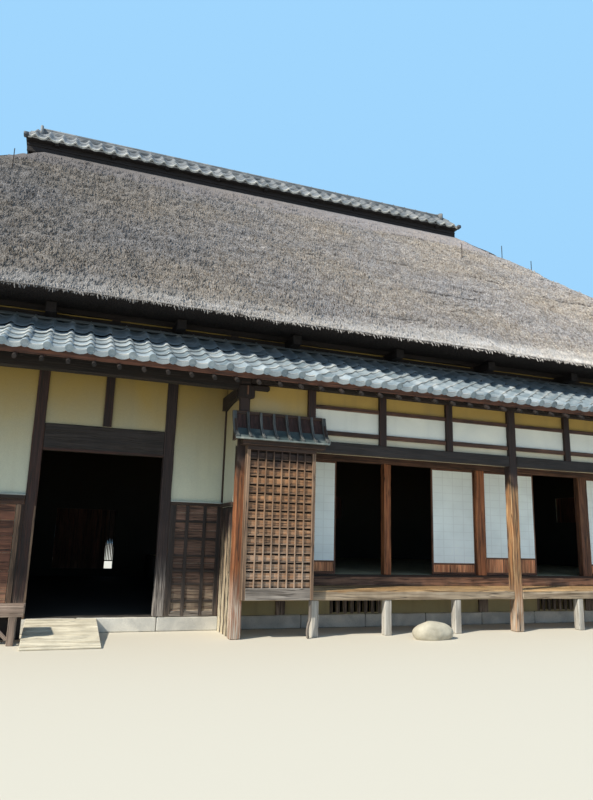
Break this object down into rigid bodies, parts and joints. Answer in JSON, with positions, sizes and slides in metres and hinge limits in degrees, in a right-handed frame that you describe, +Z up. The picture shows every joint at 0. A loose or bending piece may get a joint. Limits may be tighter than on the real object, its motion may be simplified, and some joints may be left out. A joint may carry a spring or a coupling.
{
  "type": "thatched farmhouse",
  "caption": "Hipped thatch farmhouse with a tiled pent roof, an earth-floored entrance hall, raised rooms with sliding paper doors and an open veranda.",
  "frame": {"origin": "on the ground, at the centre of the bottom of the bounding box, below the middle of the building", "axes": "+X along the ridge, to the right as seen from the front; +Y from the front to the back; +Z up"},
  "size_m": [21.452, 12.16, 10.17],
  "materials": {
    "stone": "matte",
    "plaster": "matte",
    "dark_timber": "matte",
    "red_timber": "matte",
    "grey_timber": "matte",
    "boards": "matte",
    "floor_boards": "satin",
    "paper": "matte",
    "tiles": "matte",
    "thatch": "matte",
    "ridge_timber": "matte"
  },
  "bodies": {
    "house": {"foundation": "stone", "room_floor": "floor_boards", "doma_wall_left": "plaster", "doma_wall_right": "plaster", "doma_wall_over_door": "plaster", "door_jamb_left": "dark_timber", "door_jamb_right": "dark_timber", "door_lintel": "dark_timber", "wainscot_left": "boards", "wainscot_right": "boards", "return_wall": "plaster", "corner_post": "red_timber", "main_post_1": "red_timber", "main_post_2": "red_timber", "end_post_right": "dark_timber", "end_post_left": "dark_timber", "eave_beam_front": "dark_timber", "eave_frame": "dark_timber", "transom_wall": "plaster", "veranda_deck": "floor_boards", "room_sill": "dark_timber", "room_lintel": "red_timber", "room_wall_upper": "plaster", "room_wall_lower": "plaster", "room_post_1": "red_timber", "room_post_2": "red_timber", "room_post_3": "red_timber", "room_post_4": "red_timber", "room_post_5": "red_timber", "shoji_5": "paper", "shutter_box": "grey_timber", "shutter_box_roof": "tiles", "prop_post": "grey_timber", "bench": "boards", "ramp": "grey_timber", "step_stone": "stone", "left_wall": "plaster", "left_window": "boards", "right_wall": "plaster", "right_window": "boards", "back_wall": "plaster", "back_door": "boards", "back_window": "boards", "pent_roof_front": "tiles", "pent_roof_back": "tiles", "pent_roof_left": "tiles", "pent_roof_right": "tiles", "thatch_front": "thatch", "thatch_back": "thatch", "thatch_left": "thatch", "thatch_right": "thatch", "ridge_box": "ridge_timber", "ridge_cap": "tiles"},
    "shoji_1_leaf": {"shoji_1": "paper"},
    "shoji_2_leaf": {"shoji_2": "paper"},
    "shoji_3_leaf": {"shoji_3": "paper"},
    "shoji_4_leaf": {"shoji_4": "paper"}
  },
  "joints": [
    {"name": "shoji_1_slide", "type": "slide", "parent": "house", "child": "shoji_1_leaf", "axis": [1, 0, 0], "range_m": [0, 0.833]},
    {"name": "shoji_2_slide", "type": "slide", "parent": "house", "child": "shoji_2_leaf", "axis": [1, 0, 0], "range_m": [-0.792, 0]},
    {"name": "shoji_3_slide", "type": "slide", "parent": "house", "child": "shoji_3_leaf", "axis": [1, 0, 0], "range_m": [0, 0.992]},
    {"name": "shoji_4_slide", "type": "slide", "parent": "house", "child": "shoji_4_leaf", "axis": [1, 0, 0], "range_m": [0, 0.995]}
  ]
}
